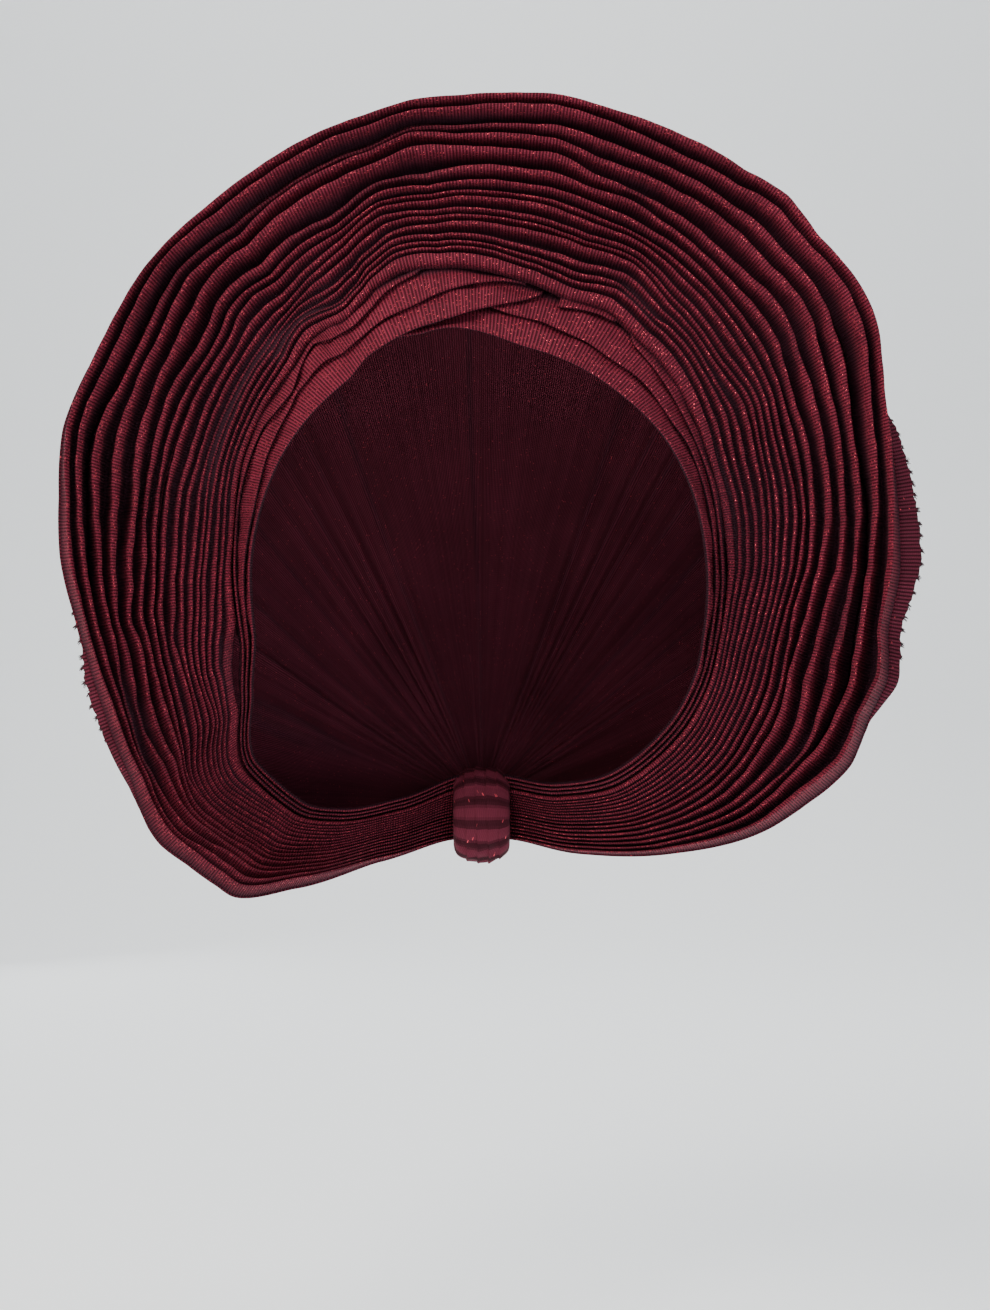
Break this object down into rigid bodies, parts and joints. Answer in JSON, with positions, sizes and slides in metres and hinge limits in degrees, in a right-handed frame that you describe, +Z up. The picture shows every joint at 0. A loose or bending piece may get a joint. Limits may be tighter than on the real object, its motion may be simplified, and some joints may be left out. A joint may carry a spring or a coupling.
{
  "type": "gele head tie",
  "caption": "Tied cloth head tie: a pleated fan frames the face, smooth wraps cross at the brow, and a bonnet of the same cloth is gathered to a knot at the nape.",
  "frame": {"origin": "middle of the wearer's head at temple level, where the head tie sits on the head", "axes": "+Z up, +Y towards the back of the head, the wearer faces -Y, +X to the right of someone who looks at the face"},
  "size_m": [0.3093, 0.1879, 0.2822],
  "materials": {
    "wine_cloth": "ribbed sego cloth with small metallic threads",
    "wine_cloth_back": "ribbed sego cloth, plainer side"
  },
  "bodies": {
    "root": {"rim_pleats": "wine_cloth", "broad_pleats": "wine_cloth", "fine_pleats": "wine_cloth", "brow_wrap_right_1": "wine_cloth", "brow_wrap_right_2": "wine_cloth", "brow_wrap_right_3": "wine_cloth", "brow_wrap_left_1": "wine_cloth", "brow_wrap_left_2": "wine_cloth", "brow_wrap_left_3": "wine_cloth", "back_wrap": "wine_cloth_back", "nape_knot": "wine_cloth_back"}
  },
  "joints": []
}
